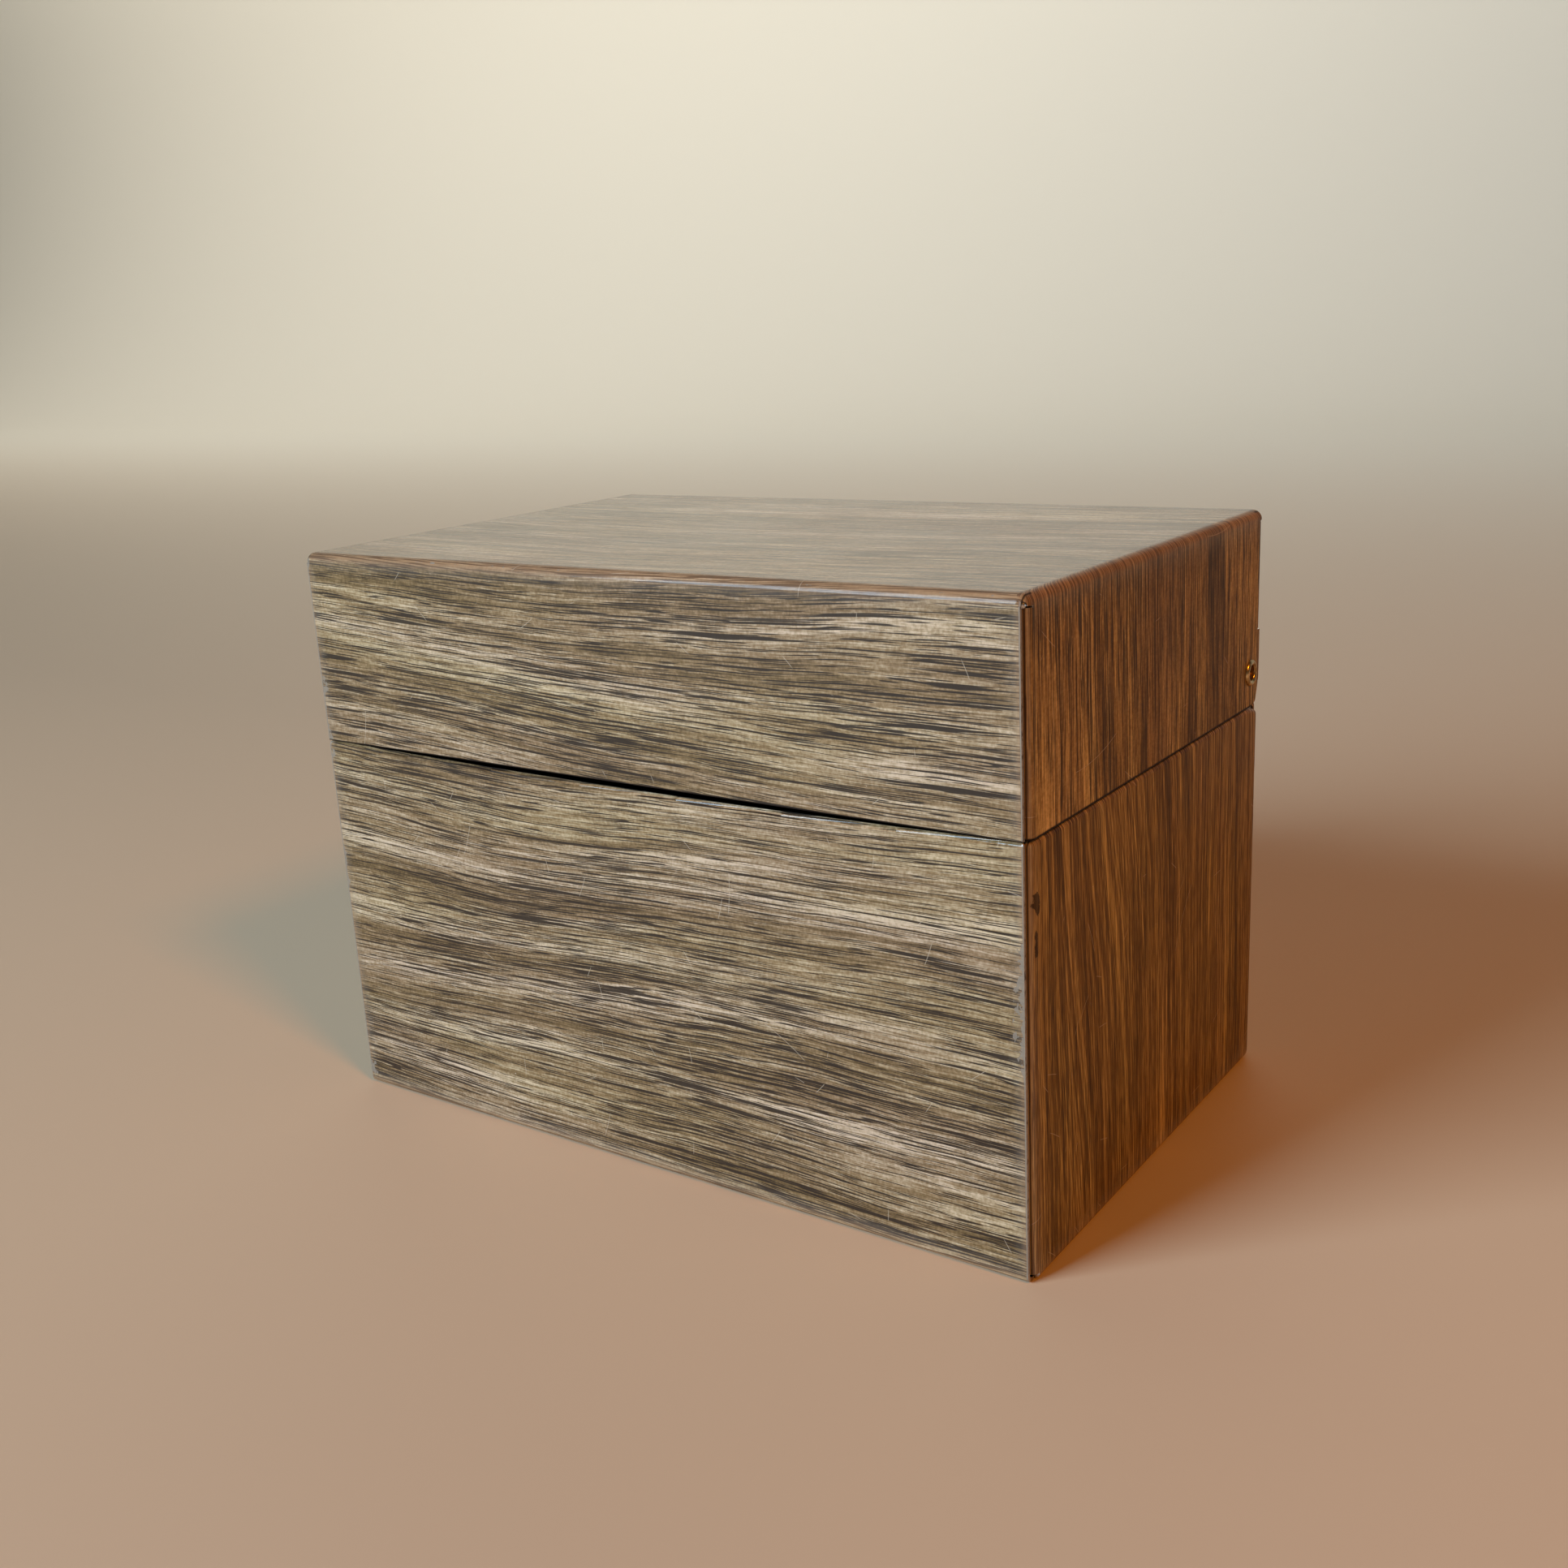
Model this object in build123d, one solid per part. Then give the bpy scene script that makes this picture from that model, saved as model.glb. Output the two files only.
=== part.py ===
from build123d import *
import math
import os

# Index card box for 3 by 5 inch cards, folded from thin steel sheet.
# The origin is the centre of the base, X runs right, Y to the back and Z up. Sizes are in mm.
# The body and the lid are each one cross-shaped blank, and two rivets near the back join them.

# Closed box
box_width = 136.0
box_depth = 87.0
box_height = 98.0
seam_height = 65.4

# Sheet and folds
sheet = 0.6
fold_inside = 0.6
corner_relief = 1.2
edge_inset = 0.85
fold_lip = 0.15
tab_gap = 0.2
tab_length = 8.0
tab_corner = 1.5

# Shoulder below the lid, and the collar that the lid closes over
collar_height = 12.0
lid_clearance = 0.25
seam_gap = 0.25
shoulder_slope = 65.0
shoulder_inside = 0.3
collar_setback = 2.5
collar_corner = 6.0
collar_rear_corner = 1.0
collar_end_gap = 0.1
shoulder_drop = 0.8
shoulder_drop_length = 4.4
band_margin = 0.8
cap_turn = 80.0

# Front panel of the body, with its top edge hemmed and sagging a little in the middle
front_gap = 0.2
front_sag = 0.85
front_corner = 0.4
hem_depth = 6.0
hem_gap = 0.2
hem_end_gap = 0.3
hem_fold_inside = 0.05

# Folds round the top of the lid, and the small holes below its corners
lid_fold_inside = 1.0
lid_relief = 0.3
lid_hole_diameter = 0.8
lid_hole_rise = 0.15

# Hinge side of the lid
pivot_setback = 5.0
pivot_rise = 5.9
stop_rise = 5.5
rear_tab_gap = 1.0
ear_inset = 1.1
ear_relief = 0.3
ear_corner_drop = 1.3
ear_slant_end = 2.7
ear_rounding = 0.6

# Rivets
rivet_diameter = 3.4
rivet_running_clearance = 0.07
rivet_end_clearance = 0.05
roll_diameter = 4.5
roll_height = 0.45
roll_crest_diameter = 3.5
roll_lip = 0.15
bore_diameter = 2.6
bore_depth = 2.0
bore_cone = 0.4
head_diameter = 5.6
head_height = 0.8
head_rim = 0.2

# Worked out from the sizes above
half_width = box_width / 2
half_depth = box_depth / 2
fold_outside = fold_inside + sheet
side_end = half_depth - sheet - tab_gap - fold_outside
panel_end = half_width - edge_inset
stub_length = fold_outside + fold_lip
shoulder_inset = sheet + lid_clearance
slope = math.radians(shoulder_slope)
shoulder_low = seam_height - seam_gap - sheet / math.tan(slope)
shoulder_high = shoulder_low + shoulder_inset / math.tan(slope)
bend_reach = (shoulder_inside + sheet) * math.tan(slope / 2)
band_low = shoulder_low - bend_reach - shoulder_drop - band_margin
band_high = shoulder_high + 2 * shoulder_drop + band_margin
collar_face = half_width - shoulder_inset
collar_inner = collar_face - sheet
collar_top = seam_height + collar_height
pivot_y = half_depth - pivot_setback
pivot_height = seam_height + pivot_rise
rear_flange_low = pivot_height + stop_rise
lid_tab_low = collar_top + rear_tab_gap
lid_fold_outside = lid_fold_inside + sheet
lid_fold_low = box_height - lid_fold_outside
lid_top_reach_x = half_width - lid_fold_outside
lid_top_reach_y = half_depth - lid_fold_outside


def folded_section(line, inside_radii, side):
    """Cross section of a folded sheet, as a face.

    line follows one face of the sheet, which lies to the left of it where side is 1
    and to the right where side is -1. Each fold has its own inside radius.
    """
    points = [Vector(*point) for point in line]
    normals = []
    for start, end in zip(points, points[1:]):
        run = (end - start).normalized()
        normals.append(Vector(-run.Y, run.X) * side)
    far_points = [points[0] + normals[0] * sheet]
    near_radii = []
    far_radii = []
    for corner, before, after, radius in zip(points[1:], normals, normals[1:], inside_radii):
        far_points.append(corner + (before + after) * (sheet / (1 + before.dot(after))))
        towards_sheet = before.cross(after).Z * side > 0
        near_radii.append(radius + sheet if towards_sheet else radius)
        far_radii.append(radius if towards_sheet else radius + sheet)
    far_points.append(points[-1] + normals[-1] * sheet)
    corners = points + far_points[::-1]
    radii = [0.0, *near_radii, 0.0, 0.0, *far_radii[::-1], 0.0]
    return make_face(FilletPolyline(*corners, radius=radii, close=True))


def block(low, high):
    """Box between two opposite corners."""
    size = [top - bottom for bottom, top in zip(low, high)]
    return Pos(*low) * Box(*size, align=(Align.MIN, Align.MIN, Align.MIN))


def both_sides(shape):
    """The shape and its mirror image across the box."""
    return shape + mirror(shape, about=Plane.YZ)


def across(section, half_length):
    """A section in Y and Z, run along X to both sides of the middle."""
    return extrude(Plane.YZ * section, amount=half_length, both=True)


def front_to_back(section, half_length):
    """A section in X and Z, run along Y to both sides of the middle."""
    return extrude(Plane.XZ * section, amount=half_length, both=True)


def corner_fold(length, low, high):
    """Fold of a side panel at the front right corner, with its tab behind the front panel."""
    face = half_depth - sheet - tab_gap
    line = [(half_width - length, -face), (half_width, -face), (half_width, fold_lip - side_end)]
    fold = extrude(Pos(Z=low) * folded_section(line, [fold_inside], 1), amount=high - low)
    if length > stub_length:
        free_edges = fold.edges().filter_by(Axis.Y).group_by(Axis.X)[0]
        fold = fillet(free_edges, tab_corner)
    return fold


def shoulder_section():
    """Section of the right wall where it steps inwards."""
    line = [(half_width, band_low), (half_width, shoulder_low)]
    line += [(collar_face, shoulder_high), (collar_face, band_high)]
    return folded_section(line, [shoulder_inside] * 2, 1)


def corner_cap(drop):
    """Rounded top of the front right corner fold, where the shoulder begins."""
    run = bend_reach + sheet / 4
    foot = (half_width, band_low)
    bend = (half_width, shoulder_low - drop)
    end = (bend[0] - run * math.sin(slope), bend[1] + run * math.cos(slope))
    section = Plane.XZ * folded_section([foot, bend, end], [shoulder_inside], 1)
    centre = (half_width - fold_outside, -side_end, 0)
    return revolve(Pos(Y=-side_end) * section, Axis(centre, (0, 0, -1)), cap_turn)


def side_shoulder():
    """Shoulder of the right wall, straight from the front and falling near the back."""
    start = side_end - shoulder_drop_length
    section = Plane.XZ * shoulder_section()
    straight = Pos(Y=start) * extrude(section, amount=start + side_end)
    radius = (shoulder_drop_length**2 + shoulder_drop**2) / (2 * shoulder_drop)
    centre = (0, start, shoulder_low - radius)
    smallest = radius - (shoulder_low - band_low)
    turn = math.degrees(math.asin(shoulder_drop_length / smallest))
    falling = revolve(Pos(Y=start) * section, Axis(centre, (-1, 0, 0)), turn)
    beyond = block((0, side_end, 0), (box_width, box_depth, box_height))
    return straight + (falling - beyond)


def side_collar():
    """Upright strip of the right wall that the lid closes over, with its rivet hole."""
    front = -half_depth + collar_setback
    low = shoulder_high + shoulder_drop
    outline = make_face(
        FilletPolyline(
            (front, low),
            (front, collar_top),
            (side_end, collar_top),
            (side_end, low),
            radius=[0, collar_corner, collar_rear_corner, 0],
            close=True,
        )
    )
    strip = extrude(Pos(X=collar_inner) * (Plane.YZ * outline), amount=sheet)
    return strip - pivot_cylinder(rivet_diameter)


def pivot_cylinder(diameter):
    """Round bar along the hinge axis, longer than the box is wide."""
    bar = Cylinder(diameter / 2, 2 * box_width, rotation=(0, 90, 0))
    return Pos(0, pivot_y, pivot_height) * bar


def body_side_walls():
    """Both side walls with the bottom between them, their folds, tabs and collars."""
    line = [(-half_width, band_low), (-half_width, 0), (half_width, 0), (half_width, band_low)]
    tray = front_to_back(folded_section(line, [fold_inside] * 2, 1), side_end)
    hem_low = seam_height - front_gap - front_sag - hem_depth
    front_fold = corner_fold(stub_length, corner_relief, band_low) + corner_cap(0)
    front_fold += corner_fold(tab_length, corner_relief, hem_low - hem_end_gap)
    back_fold = corner_fold(stub_length, corner_relief, band_low) + corner_cap(shoulder_drop)
    back_fold += corner_fold(tab_length, corner_relief, band_low)
    before_collar = block(
        (collar_inner - sheet, -half_depth, shoulder_high + bend_reach / 2),
        (half_width, -half_depth + collar_setback, collar_top),
    )
    right = (side_shoulder() - before_collar) + side_collar()
    right += front_fold + mirror(back_fold, about=Plane.XZ)
    return tray + both_sides(right)


def hemmed_edge():
    """Top of the front panel, folded inwards and sagging on a large radius."""
    top = seam_height - front_gap - front_sag
    face = -half_depth
    width = 2 * sheet + hem_gap
    line = [(face, top - 2 * hem_depth), (face, top), (face + width, top)]
    line.append((face + width, top - hem_depth))
    section = Plane.YZ * folded_section(line, [hem_fold_inside] * 2, -1)
    radius = (panel_end**2 + front_sag**2) / (2 * front_sag)
    axis = Axis((0, 0, top + radius), (0, 1, 0))
    half_turn = math.degrees(math.asin(half_width / radius))
    hem = revolve(section.rotate(axis, -half_turn), axis, 2 * half_turn)
    outline = Plane.XZ * RectangleRounded(2 * panel_end, 2 * (seam_height - front_gap), front_corner)
    hem = hem & extrude(outline, amount=box_depth)
    inner_end = half_width - fold_outside - hem_end_gap
    beyond = block((inner_end, face + sheet, 0), (box_width, 0, box_height))
    return hem - both_sides(beyond)


def body_front():
    """Front panel of the body, from the bottom fold up to its hem."""
    top = seam_height - front_gap - hem_depth - 2 * front_sag
    line = [(-side_end - tab_gap, 0), (-half_depth, 0), (-half_depth, top)]
    return across(folded_section(line, [fold_inside], -1), panel_end) + hemmed_edge()


def body_back():
    """Back panel of the body, stepping inwards to its own stretch of collar."""
    back_collar = half_depth - shoulder_inset
    line = [(side_end + tab_gap, 0), (half_depth, 0), (half_depth, shoulder_low)]
    line += [(back_collar, shoulder_high), (back_collar, collar_top)]
    radii = [fold_inside, shoulder_inside, shoulder_inside]
    panel = across(folded_section(line, radii, 1), panel_end)
    collar_end = collar_face - collar_end_gap
    beyond = block((collar_end, 0, band_low), (box_width, box_depth, box_height))
    return panel - both_sides(beyond)


def middle_plate():
    """Flat bottom of the body, inside the folds of its front and back."""
    reach_x = half_width - fold_outside
    reach_y = side_end + tab_gap
    return block((-reach_x, -reach_y, 0), (reach_x, reach_y, sheet))


def body_shell():
    """Open-topped body: bottom, front, back and sides of one folded blank."""
    return middle_plate() + body_front() + body_back() + body_side_walls()


def lid_ear():
    """Lower part of the lid's right side, ending at the back in an ear round the rivet."""
    ear_back = half_depth - ear_inset
    slant_y = pivot_y + ear_slant_end
    slant_z = pivot_height - math.sqrt(pivot_rise**2 - ear_slant_end**2)
    ear_top = lid_tab_low - ear_relief
    half_angle = math.asin(ear_slant_end / pivot_rise) / 2
    mid_y = pivot_y + pivot_rise * math.sin(half_angle)
    mid_z = pivot_height - pivot_rise * math.cos(half_angle)
    outline = [
        Line((slant_y, slant_z), (ear_back, pivot_height - ear_corner_drop)),
        Line((ear_back, pivot_height - ear_corner_drop), (ear_back, ear_top)),
        Line((ear_back, ear_top), (side_end, ear_top)),
        Line((side_end, ear_top), (side_end, lid_tab_low)),
        Line((side_end, lid_tab_low), (-side_end, lid_tab_low)),
        Line((-side_end, lid_tab_low), (-side_end, seam_height)),
        Line((-side_end, seam_height), (pivot_y, seam_height)),
        ThreePointArc((pivot_y, seam_height), (mid_y, mid_z), (slant_y, slant_z)),
    ]
    face = make_face(outline)
    ear_corners = face.vertices().filter_by_position(Axis.X, slant_y, half_depth).sort_by(Axis.Y)
    face = fillet(ear_corners[:2], ear_rounding)
    plate = extrude(Pos(X=half_width - sheet) * (Plane.YZ * face), amount=sheet)
    return plate - pivot_cylinder(rivet_diameter + 2 * rivet_running_clearance)


def side_section(low):
    """Section of the lid's top with its two side folds, down to a height."""
    line = [(-half_width, low), (-half_width, box_height)]
    line += [(half_width, box_height), (half_width, low)]
    return folded_section(line, [lid_fold_inside] * 2, -1)


def lid_side_walls():
    """Both sides of the lid with the top between them, their folds and tabs."""
    cover = front_to_back(side_section(lid_fold_low - fold_lip), lid_top_reach_y)
    cover += front_to_back(side_section(lid_tab_low), side_end)
    top = lid_fold_low - lid_relief
    front_fold = corner_fold(tab_length, seam_height, top)
    back_fold = corner_fold(tab_length, lid_tab_low, top)
    right = lid_ear() + front_fold + mirror(back_fold, about=Plane.XZ)
    return cover + both_sides(right)


def lid_front(low):
    """Front flange of the lid with its fold, down to a height."""
    face = -half_depth
    line = [(face, lid_fold_low - fold_lip), (face, box_height)]
    line.append((fold_lip - lid_top_reach_y, box_height))
    fold = across(folded_section(line, [lid_fold_inside], -1), lid_top_reach_x)
    panel = block((-panel_end, face, low), (panel_end, face + sheet, lid_fold_low))
    return fold + panel


def lid_top_corner():
    """Front right corner of the lid's top, where its two folds meet in a rounded corner."""
    ball = Sphere(lid_fold_outside) - Sphere(lid_fold_inside)
    octant = block((0, -box_depth, 0), (box_width, 0, box_height))
    return Pos(lid_top_reach_x, -lid_top_reach_y, lid_fold_low) * (ball & octant)


def lid_corner_hole():
    """Bar through the front right corner, for the hole where the slit beside the fold ends."""
    middle = (lid_top_reach_x, -lid_top_reach_y, lid_fold_low + lid_hole_rise)
    outwards = Plane(origin=middle, z_dir=(1, -1, 0))
    return outwards * Cylinder(lid_hole_diameter / 2, 3 * lid_fold_outside)


def lid_corners(right_front):
    """A shape at the front right corner of the lid, repeated at all four corners."""
    return both_sides(right_front + mirror(right_front, about=Plane.XZ))


def lid_shell():
    """Lid: top, sides, front and the short back flange of one folded blank."""
    back_flange = mirror(lid_front(rear_flange_low), about=Plane.XZ)
    shell = lid_side_walls() + lid_front(seam_height) + back_flange
    return shell + lid_corners(lid_top_corner()) - lid_corners(lid_corner_hole())


def pivot_rivet():
    """Tubular rivet on the right, its head inside the collar and its rolled end outside the lid."""
    seat = half_width + rivet_end_clearance
    crest = seat + roll_height
    shank = rivet_diameter / 2
    bore = bore_diameter / 2
    bore_end = crest - bore_depth
    head = head_diameter / 2
    outline = [
        TangentArc((collar_inner - head_height, 0), (collar_inner - head_rim, head), tangent=(0, 1)),
        Polyline(
            (collar_inner - head_rim, head),
            (collar_inner, head),
            (collar_inner, shank),
            (seat, shank),
            (seat, roll_diameter / 2),
        ),
        ThreePointArc(
            (seat, roll_diameter / 2), (crest, roll_crest_diameter / 2), (seat + roll_lip, bore)
        ),
        Polyline(
            (seat + roll_lip, bore),
            (bore_end, bore),
            (bore_end - bore_cone, 0),
            (collar_inner - head_height, 0),
        ),
    ]
    rivet = revolve(make_face(outline), Axis.X, 360)
    return Pos(0, pivot_y, pivot_height) * rivet


right_rivet = pivot_rivet()
nodes = {
    "body_shell": body_shell(),
    "lid_shell": lid_shell(),
    "pivot_rivet_right": right_rivet,
    "pivot_rivet_left": mirror(right_rivet, about=Plane.YZ),
}

os.makedirs("parts", exist_ok=True)
for name, shape in nodes.items():
    export_step(shape, f"parts/{name}.step")
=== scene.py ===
"""Index card box of thin steel sheet with a printed walnut grain, dressed for rendering.

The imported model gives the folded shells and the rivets. The shells are copied, so that each of
their faces can carry the finish that it has on the real box: the printed outside of the blank,
the plain lacquer inside, and the bare steel of its cut edges. The tips of the folded tabs, which
show in the four corners of the lid, are made here. Lengths are in metres, apart from those of the
printed pattern, which are in millimetres on the flat sheet.
"""

import math

import bmesh
import bpy
from mathutils import Euler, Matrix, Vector


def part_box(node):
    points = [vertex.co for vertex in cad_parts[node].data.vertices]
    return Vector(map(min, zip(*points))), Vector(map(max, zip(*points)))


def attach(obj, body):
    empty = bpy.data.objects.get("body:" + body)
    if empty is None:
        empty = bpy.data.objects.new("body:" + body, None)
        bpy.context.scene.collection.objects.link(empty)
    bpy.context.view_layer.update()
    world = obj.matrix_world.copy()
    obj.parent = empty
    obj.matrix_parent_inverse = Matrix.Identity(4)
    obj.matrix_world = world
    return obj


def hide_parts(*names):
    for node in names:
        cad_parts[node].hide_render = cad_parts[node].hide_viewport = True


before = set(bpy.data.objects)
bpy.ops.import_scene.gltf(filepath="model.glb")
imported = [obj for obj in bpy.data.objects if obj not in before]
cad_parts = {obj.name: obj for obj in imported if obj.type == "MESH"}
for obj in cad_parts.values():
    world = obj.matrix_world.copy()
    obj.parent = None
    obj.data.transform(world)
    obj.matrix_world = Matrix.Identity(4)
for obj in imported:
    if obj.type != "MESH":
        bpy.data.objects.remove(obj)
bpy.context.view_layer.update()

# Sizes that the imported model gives
LID_LOW, LID_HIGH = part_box("lid_shell")
HALF_WIDTH = LID_HIGH.x
HALF_DEPTH = LID_HIGH.y
BOX_HEIGHT = LID_HIGH.z
SEAM = LID_LOW.z

# Sheet and folds of the real box, with the folds measured to their outside
SHEET = 0.0006
BODY_FOLD = 0.0012
LID_FOLD = 0.0016
CORNER_FOLD = 0.0020
EDGE_INSET = 0.00085
HEM_DEPTH = 0.0075
HEM_BACK = 0.0015
HAIR = 0.00002
PAST_OPENING = 1.0

# Tab tips behind the small holes in the lid's corners
TIP_INSET = 0.00095
TIP_HEIGHT = BOX_HEIGHT - 0.00145
TIP_RADIUS = 0.0005
TIP_STRETCH = 1.15

# Finishes of a shell, in the order of its materials
PRINTED, LACQUERED, BARE = 0, 1, 2

# Kinds of socket of a node group
NUMBER, VECTOR, COLOUR = "NodeSocketFloat", "NodeSocketVector", "NodeSocketColor"

# Printed walnut of each blank: seed and offset of the grain, calm of its sides, and a painted warm
# cast on its sides that stands in for the warm lamp's light on them
BODY_PRINT = {
    "seed": 3.3, "offset": (-164.0, -246.0), "side_calm": 0.95, "side_painted_warmth": (0.93, 0.80, 0.42)}
LID_PRINT = {
    "seed": 36.6, "offset": (306.0, 156.0), "side_calm": 0.25, "side_painted_warmth": (1.12, 1.00, 0.64)}
WOOD_STOPS = (
    (0.10, (0.070, 0.043, 0.015)),
    (0.34, (0.166, 0.105, 0.043)),
    (0.52, (0.285, 0.190, 0.096)),
    (0.68, (0.422, 0.316, 0.190)),
    (0.90, (0.690, 0.548, 0.385)),
)
KHAKI_CAST = (0.99, 1.0, 0.92, 1.0)
ROSE_CAST = (1.0, 0.985, 1.03, 1.0)
PORE_INK = (0.022, 0.012, 0.006, 1.0)

# Colours of wear and chips on the print, and of the painted sheen, painted highlight and painted
# seam shade on it
WHITE = (1.0, 1.0, 1.0, 1.0)
PAINTED_SHEEN = (0.27, 0.26, 0.245, 1.0)
RUBBED_FOLD = (0.52, 0.30, 0.145, 1.0)
FOLD_PORES = (0.05, 0.024, 0.010, 1.0)
SCRATCHED = (0.60, 0.50, 0.38, 1.0)
SPECKED = (0.78, 0.70, 0.58, 1.0)
WORN_END = (0.31, 0.27, 0.22, 1.0)
PAINTED_CREST_HIGHLIGHT = (0.74, 0.77, 0.78, 1.0)
SHADE_AND_CHIP_DARK = (0.012, 0.006, 0.003, 1.0)

# Places of wear and painted light: a bumped stretch of the front's right end, the painted
# highlight on the crest of the body's front at the right, and two chips on the right side, each
# with its middle and radii
BUMPED_HEIGHT = 0.042
BUMPED_REACH = (0.006, 0.011)
CREST_START = (0.050, 0.058)
CHIPS = (
    ((HALF_WIDTH, 0.0022 - HALF_DEPTH, 0.0565), (0.002, 0.0014, 0.0026)),
    ((HALF_WIDTH, 0.0020 - HALF_DEPTH, 0.0508), (0.002, 0.0007, 0.0026)),
)
CHIP_DEPTH = 0.8

# Camera, at the photograph's place beside the box
CAMERA_PLACE = (0.162537, -0.230408, 0.133806)
CAMERA_TURN = (74.1747, 2.8957, 34.5983)
LENS = 38.5497
SENSOR = 36.0


def make_node(tree, kind, inputs=None, **settings):
    """Adds a node. An input is a plain value or the output of another node."""
    made = tree.nodes.new(kind)
    for name, value in settings.items():
        setattr(made, name, value)
    for key, value in (inputs or {}).items():
        if isinstance(value, bpy.types.NodeSocket):
            tree.links.new(value, made.inputs[key])
        else:
            made.inputs[key].default_value = value
    return made


def calc(tree, operation, *values, clamp=False):
    """Result of a Math node."""
    made = make_node(tree, "ShaderNodeMath", dict(enumerate(values)), operation=operation)
    made.use_clamp = clamp
    return made.outputs[0]


def add_scaled(tree, value, factor, base, clamp=False):
    """The value times the factor, added to the base."""
    return calc(tree, "MULTIPLY_ADD", value, factor, base, clamp=clamp)


def product(tree, first, *others):
    """All the values multiplied together."""
    for other in others:
        first = calc(tree, "MULTIPLY", first, other)
    return first


def greatest(tree, first, *others):
    """The greatest of the values."""
    for other in others:
        first = calc(tree, "MAXIMUM", first, other)
    return first


def ramp_between(tree, value, low, high, bottom=0.0, top=1.0):
    """The value stretched from low and high to bottom and top, with soft ends."""
    inputs = {"Value": value, "From Min": low, "From Max": high, "To Min": bottom, "To Max": top}
    made = make_node(tree, "ShaderNodeMapRange", inputs, interpolation_type="SMOOTHSTEP")
    return made.outputs[0]


def parts_of(tree, vector):
    """The three parts of a vector or colour."""
    return make_node(tree, "ShaderNodeSeparateXYZ", {0: vector}).outputs


def vector_calc(tree, operation, *values):
    """Vector result of a Vector Math node."""
    inputs = dict(enumerate(values))
    return make_node(tree, "ShaderNodeVectorMath", inputs, operation=operation).outputs[0]


def scaled(tree, vector, factors):
    """A vector with each of its parts multiplied."""
    return vector_calc(tree, "MULTIPLY", vector, factors)


def noise(tree, vector, detail=2.0, roughness=0.5):
    """Soft noise between 0 and 1 with a cell of about one unit."""
    inputs = {"Vector": vector, "Scale": 1.0, "Detail": detail, "Roughness": roughness}
    return make_node(tree, "ShaderNodeTexNoise", inputs).outputs["Fac"]


def fine_noise(tree, place, pitch, detail=2.0, roughness=0.5):
    """Even noise over the box, with this many cells to the metre."""
    return noise(tree, scaled(tree, place, (pitch, pitch, pitch)), detail, roughness)


def blend(tree, factor, first, second, kind="MIX"):
    """Mix of two colours."""
    made = make_node(tree, "ShaderNodeMix", data_type="RGBA", blend_type=kind)
    for socket, value in zip((0, 6, 7), (factor, first, second)):
        if isinstance(value, bpy.types.NodeSocket):
            tree.links.new(value, made.inputs[socket])
        else:
            made.inputs[socket].default_value = value
    return made.outputs[2]


def mix_values(tree, factor, first, second):
    """Mix of two plain values."""
    change = calc(tree, "SUBTRACT", second, first)
    return add_scaled(tree, change, factor, first)


def colour_ramp(tree, value, stops):
    """Colours along a value, from pairs of place and colour."""
    made = make_node(tree, "ShaderNodeValToRGB", {"Fac": value})
    elements = made.color_ramp.elements
    while len(elements) < len(stops):
        elements.new(0.5)
    for element, (place, colour) in zip(elements, stops):
        element.position = place
        element.color = (*colour, 1.0)
    return made.outputs["Color"]


def object_place(tree):
    """Place on the box, in metres."""
    return make_node(tree, "ShaderNodeTexCoord").outputs["Object"]


def add_bump(tree, shader, height, strength, distance):
    """Fine relief of a surface."""
    inputs = {"Strength": strength, "Distance": distance, "Height": height}
    bump = make_node(tree, "ShaderNodeBump", inputs)
    tree.links.new(bump.outputs[0], shader.inputs["Normal"])


def new_group(name, inputs, outputs):
    """Empty shader node group, with the sockets that lead into it and out of it."""
    group = bpy.data.node_groups.new(name, "ShaderNodeTree")
    for title, kind, value in inputs:
        socket = group.interface.new_socket(title, in_out="INPUT", socket_type=kind)
        if value is not None:
            socket.default_value = value
    for title, kind in outputs:
        group.interface.new_socket(title, in_out="OUTPUT", socket_type=kind)
    entry = group.nodes.new("NodeGroupInput")
    leave = group.nodes.new("NodeGroupOutput")
    return group, entry.outputs, leave.inputs


def use_group(tree, group, **inputs):
    """A node group placed in a material."""
    return make_node(tree, "ShaderNodeGroup", inputs, node_tree=group).outputs


def new_material(name):
    """Empty node material with its shader."""
    material = bpy.data.materials.new(name)
    material.use_nodes = True
    tree = material.node_tree
    return material, tree, tree.nodes["Principled BSDF"]


def grain_lines(tree, sheet):
    """Where a place lies in the grain: along it, across it, and across its wavy lines."""
    along, across, seed = parts_of(tree, sheet)
    sway = noise(tree, scaled(tree, sheet, (0.008, 0.020, 1.0)), 0.0)
    ripple = noise(tree, scaled(tree, sheet, (0.028, 0.08, 1.0)), 0.0)
    tremble = noise(tree, scaled(tree, sheet, (0.11, 0.3, 1.0)), 0.0)
    figure = add_scaled(tree, ripple, 3.0, add_scaled(tree, sway, 24.0, across))
    pores = add_scaled(tree, ripple, 1.5, add_scaled(tree, sway, 10.0, across))
    pores = add_scaled(tree, tremble, 0.25, pores)
    return {"along": along, "across": across, "seed": seed, "figure": figure, "pores": pores}


def streaks(tree, grain, line, length, width, detail, roughness=0.5, layer=0.0):
    """Noise drawn out along the grain, in streaks of about this length and width."""
    place = make_node(tree, "ShaderNodeCombineXYZ", {
        0: calc(tree, "DIVIDE", grain["along"], length),
        1: calc(tree, "DIVIDE", grain[line], width),
        2: calc(tree, "ADD", grain["seed"], layer),
    })
    return noise(tree, place.outputs[0], detail, roughness)


def growth_arches(tree, grain):
    """Pointed arches of a flat-sawn board, as the print has them on its sides."""
    line = grain["figure"]
    bow = calc(tree, "MULTIPLY", line, line)
    bow = add_scaled(tree, bow, 0.045, calc(tree, "ABSOLUTE", grain["along"]))
    place = make_node(tree, "ShaderNodeCombineXYZ", {
        0: calc(tree, "DIVIDE", bow, 9.0),
        1: calc(tree, "DIVIDE", line, 60.0),
        2: grain["seed"],
    })
    return noise(tree, place.outputs[0], 2.0, 0.6)


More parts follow.
